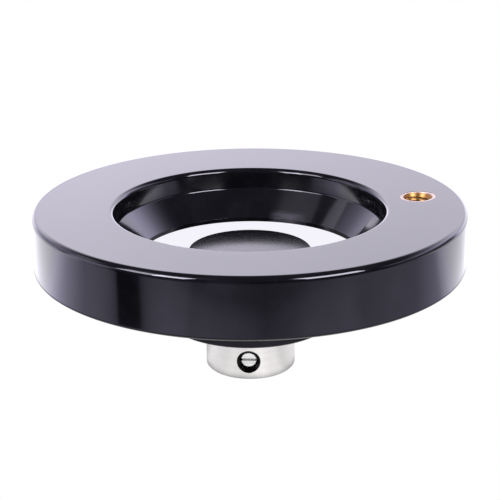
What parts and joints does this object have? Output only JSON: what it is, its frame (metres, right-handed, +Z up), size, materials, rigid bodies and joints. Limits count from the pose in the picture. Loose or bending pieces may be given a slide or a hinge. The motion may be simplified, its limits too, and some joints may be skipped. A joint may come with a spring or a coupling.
{
  "type": "dished handwheel",
  "caption": "Dished handwheel in glossy black plastic with a flat rim face, open dish, metal hub bush clamped by a set screw, and a threaded brass insert for a handle.",
  "frame": {"origin": "centre of the bush's bottom face, on the wheel's axis", "axes": "+Z up along the wheel's axis towards the rim's face, +X towards the handle's thread"},
  "size_m": [0.1, 0.1, 0.04],
  "materials": {
    "black_phenolic": "gloss",
    "bush_metal": "satin turned",
    "insert_brass": "turned",
    "screw_steel": "zinc plated"
  },
  "bodies": {
    "wheel": {"wheel_body": "black_phenolic", "hub_bush": "bush_metal", "handle_insert": "insert_brass"},
    "set_screw": {"set_screw": "screw_steel"}
  },
  "joints": [
    {"name": "screw_travel", "type": "slide", "parent": "wheel", "child": "set_screw", "axis": [-0.1736, -0.9848, 0], "range_m": [-0.0015, 0.004]}
  ]
}
